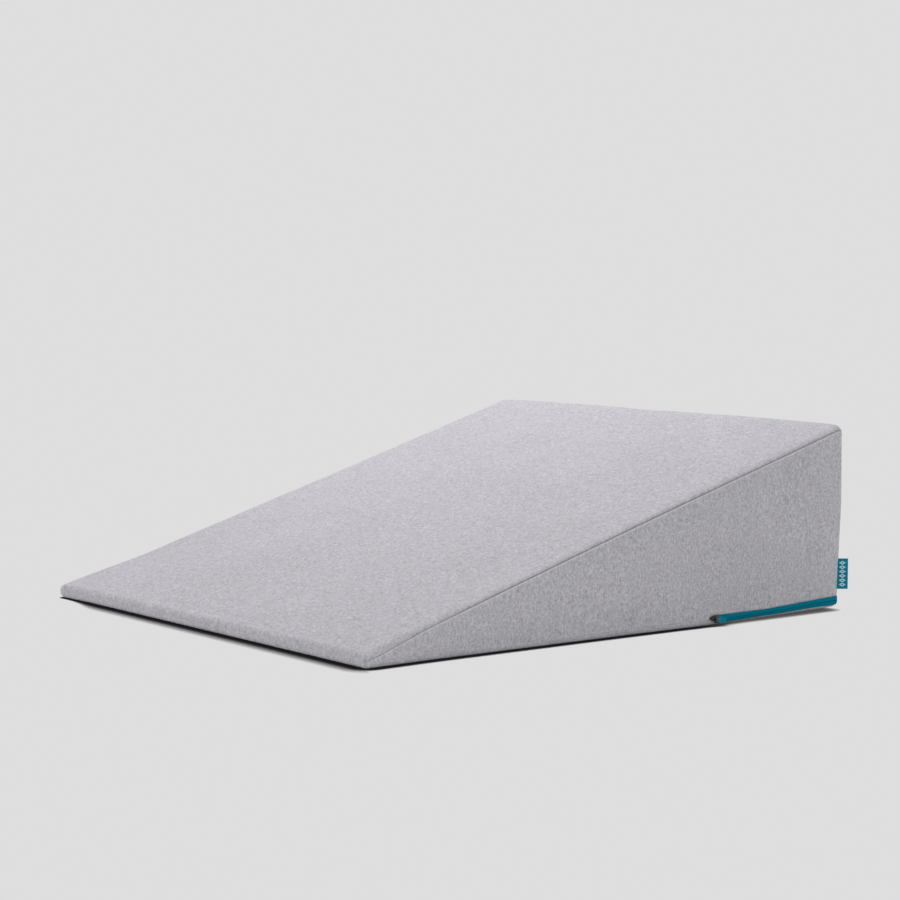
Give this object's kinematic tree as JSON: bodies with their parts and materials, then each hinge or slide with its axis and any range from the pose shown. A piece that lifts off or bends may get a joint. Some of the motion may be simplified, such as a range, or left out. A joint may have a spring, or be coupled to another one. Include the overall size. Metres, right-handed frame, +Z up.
{
  "type": "wedge pillow",
  "caption": "Firm foam wedge pillow in a sewn cloth cover, sloping from a thin front edge to a tall upright back, with a zip low round the back.",
  "frame": {"origin": "centre of the underside, on the floor", "axes": "+X across to the side with the zip slider, +Y from the thin front edge to the tall back, +Z up"},
  "size_m": [0.5718, 0.6082, 0.1934],
  "materials": {
    "cover": "melange plain-weave cover cloth, matte",
    "zip_tape": "woven polyester tape, matte",
    "zip_coil": "nylon coil, matte",
    "zip_slider": "dark plated metal",
    "zip_pull": "moulded tab, satin",
    "label": "woven label, matte"
  },
  "bodies": {
    "root": {"cushion": "cover", "zip_tape_upper": "zip_tape", "zip_tape_lower": "zip_tape", "zip_coil": "zip_coil", "zip_slider": "zip_slider", "zip_pull": "zip_pull", "label": "label"}
  },
  "joints": []
}
